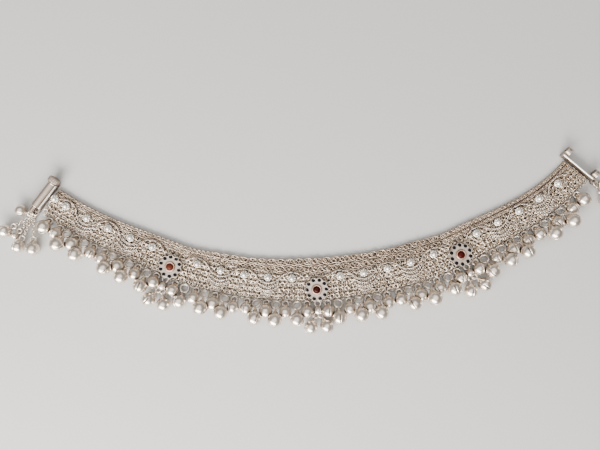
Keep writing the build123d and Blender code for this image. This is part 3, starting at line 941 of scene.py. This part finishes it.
def bunch(distance, along, offset, places, name, node):
    """Strands of small links from one ring, each with a bell at its end."""
    heap = Heap(lifts=True)
    hub = end_spot(distance, along, offset - HUB_DROP, STRAND_HEIGHT)
    eye = end_spot(distance, along, offset, STRAND_HEIGHT)
    eye_ring = ring_shape(1.2, 0.34, around=20, section=8)
    heap.add(eye_ring, (hub + eye) / 2 + UP * 0.2, turn_to(hub - eye, (0.3, 0.2, 1.0)))
    hub_ring = ring_shape(0.95, 0.36, around=20, section=8)
    heap.add(hub_ring, hub, turn_to((1.0, 0, 0), (0.1, 0.15, 1.0)))
    link = ring_shape(0.54, 0.25, around=12, section=6, stretch=1.35)
    for reach, fall, radius in places:
        middle = end_spot(distance, along + reach, offset + fall, radius)
        path = middle - hub
        length = np.linalg.norm(path)
        down = path / length
        neck = hub + path * (1 - (radius + NECK_REACH) / length)
        run = np.linalg.norm(neck - hub)
        count = max(int(run / STRAND_PITCH), 1)
        for k in range(count):
            face = rolled(down, STRAND_ROLL if k % 2 else -STRAND_ROLL)[0]
            heap.add(link, hub + down * (0.5 + run * (k + 0.5) / count * 0.95), turn_to(down, face))
        hang_bell(heap, neck, middle, radius, STRAND_RING, rng.uniform(-25, 25))
    heap.make(name, BELL, "anklet", "bell_silver", (node,))


bunch(0, LEFT_EYE, BARREL_BOTTOM - EYE_DROP, LEFT_BELLS, "left_bunch_links", "left_bell_bunch")
bunch(LENGTH, RIGHT_EYE, RIGHT_BOTTOM - EYE_DROP, RIGHT_BELLS, "right_bunch_links", "right_bell_bunch")


# ---- the clasp: rims and caps on the CAD's own barrel, plates and knuckles, and a threaded screw ----
CLASP_HEIGHT = 2.75
BARREL_TOP = 5.0
RIGHT_TOP = 7.3
LEFT_PLATE, RIGHT_PLATE = 2.1, 0.47     # how far along from the ends of the stud line
KNUCKLE_STAND = 2.9
KNUCKLE_LENGTH = 2.1
RIM_INSET = 0.3
CAP_INSET = 0.1
CAP_HEIGHT = 3.0
ROD_REACH = 16.3
THREAD_TURNS = 22
THREAD_PITCH = 0.56
KNURL_DEPTH = 0.13


def screw_shape(around=44):
    """A screw, its axis on Z: a threaded rod downwards from a head with a knurled edge and a dished face."""
    rod = [(0, -ROD_REACH), (0.7, -ROD_REACH), (0.95, 0.3 - ROD_REACH)]
    for turn in range(THREAD_TURNS):
        low = 0.6 - ROD_REACH + THREAD_PITCH * turn
        rod += [(0.84, low), (0.98, low + 0.2), (0.98, low + 0.3), (0.84, low + 0.5)]
    rod += [(0.98, -3.0), (0.98, -0.02), (2.2, 0.0), (2.42, 0.12)]
    edge = [(2.55, 0.32), (2.58, 0.6), (2.58, 1.7), (2.54, 1.98)]
    face = [(2.38, 2.2), (2.1, 2.29), (1.5, 2.26), (1.35, 2.12), (0.5, 2.1), (0, 2.1)]
    points, faces = lathe_shape(rod + edge + face, around)
    first = 1 + (len(rod) - 1) * around
    grooves = slice(first + 1, first + len(edge) * around, 2)
    reach = np.linalg.norm(points[grooves, :2], axis=1, keepdims=True)
    points[grooves, :2] *= 1 - KNURL_DEPTH / reach
    return points, faces


def end_turn(distance):
    """Rows that turn a shape's Z to lie across the band at one end."""
    return turn_to(*directions(distance))


def rims(distance, along, offsets):
    """Rounded rims round a barrel or knuckle."""
    heap = Heap()
    rim = ring_shape(1.68, 0.2, around=36, section=8, flat=1.2)
    for offset in offsets:
        heap.add(rim, end_spot(distance, along, offset, CLASP_HEIGHT), end_turn(distance))
    return heap


def plate_cap(distance, along, low, high):
    """A round wire soldered along the top of an end plate."""
    heap = Heap()
    path = [end_spot(distance, along, offset, CAP_HEIGHT) for offset in np.linspace(low, high, 24)]
    heap.add(tube_shape(path, 0.47, section=12))
    return heap


screw = Heap()
screw.add(screw_shape(), end_spot(0, 0, BARREL_TOP + GAP, CLASP_HEIGHT), end_turn(0))
screw.make("threaded_screw", CLASP, "screw", "clasp_silver", ("screw_pin",), smooth=False)
heap = rims(0, 0, (BARREL_TOP - RIM_INSET, BARREL_BOTTOM + RIM_INSET))
heap.make("barrel_rims", BELL, "anklet", "clasp_silver")
heap = rims(LENGTH, KNUCKLE_STAND, (RIGHT_TOP - RIM_INSET, RIGHT_TOP + RIM_INSET - KNUCKLE_LENGTH))
heap.make("upper_knuckle_rims", BELL, "anklet", "clasp_silver")
heap = rims(LENGTH, KNUCKLE_STAND, (RIGHT_BOTTOM + RIM_INSET, RIGHT_BOTTOM - RIM_INSET + KNUCKLE_LENGTH))
heap.make("lower_knuckle_rims", BELL, "anklet", "clasp_silver")
heap = plate_cap(0, LEFT_PLATE, BARREL_BOTTOM + CAP_INSET, BARREL_TOP - CAP_INSET)
heap.make("left_plate_cap", BRIGHT, "anklet", "clasp_silver")
heap = plate_cap(LENGTH, RIGHT_PLATE, RIGHT_BOTTOM + CAP_INSET, RIGHT_TOP - CAP_INSET)
heap.make("right_plate_cap", BRIGHT, "anklet", "clasp_silver")
for node in ("left_end_barrel", "right_end_knuckles"):
    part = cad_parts[node]
    part.data.materials.clear()
    part.data.materials.append(CLASP)


# ---- floor, light, camera ------------------------------------------------------------------------
FLOOR_SIZE = 3.0                # metres, from the middle to an edge
FLOOR_DROP = 0.0002
SENSOR = 36.0
LENS = 32.0
VIEW_WIDTH = 262.0              # what the photo's frame spans
VIEW_MIDDLE = (-7.0, 22.8, 0.0)
VIEW_TIP = radians(1)           # off straight down


def floor():
    """A plain pale floor."""
    mesh = bpy.data.meshes.new("floor")
    corners = [(x * FLOOR_SIZE, y * FLOOR_SIZE, 0) for x, y in ((-1, -1), (1, -1), (1, 1), (-1, 1))]
    mesh.from_pydata(corners, [], [(0, 1, 2, 3)])
    piece = add_object("floor", mesh)
    material = bpy.data.materials.new("floor_paper")
    material.use_nodes = True
    shader = material.node_tree.nodes["Principled BSDF"]
    shader.inputs["Base Color"].default_value = (0.62, 0.61, 0.595, 1)
    shader.inputs["Roughness"].default_value = 0.7
    mesh.materials.append(material)
    piece.location.z = -FLOOR_DROP


def aim(piece, place, target):
    """Puts a lamp or camera at a place, looking at a target."""
    piece.location = place
    piece.rotation_euler = Vector(np.subtract(target, place)).to_track_quat("-Z", "Y").to_euler()


def lamp(name, place, target, size, power, colour):
    """A soft rectangular lamp."""
    light = bpy.data.lights.new(name, "AREA")
    light.shape = "RECTANGLE"
    light.size, light.size_y = size
    light.energy = power
    light.color = colour
    aim(add_object(name, light), place, target)


floor()
lamp("key", (-0.24, -0.50, 0.36), (-0.02, 0.0, 0), size=(0.75, 0.34), power=9.6, colour=(1.0, 0.98, 0.95))
lamp("overhead", (-0.05, 0.10, 0.80), (0, 0.02, 0), size=(1.10, 0.90), power=3.6, colour=(1.0, 0.985, 0.97))

world = bpy.data.worlds.new("studio")
world.use_nodes = True
background = world.node_tree.nodes["Background"]
background.inputs["Color"].default_value = (0.80, 0.78, 0.76, 1)
background.inputs["Strength"].default_value = 0.40
bpy.context.scene.world = world
bpy.context.scene.view_settings.look = "AgX - Medium High Contrast"

lens = bpy.data.cameras.new("camera")
lens.lens = LENS
lens.sensor_width = SENSOR
lens.clip_start = 0.01
camera = add_object("camera", lens)
view_distance = VIEW_WIDTH * MM * LENS / SENSOR
target = np.array(VIEW_MIDDLE) * MM
aim(camera, target + view_distance * np.array((0, -sin(VIEW_TIP), cos(VIEW_TIP))), target)
bpy.context.scene.camera = camera

bpy.context.view_layer.update()
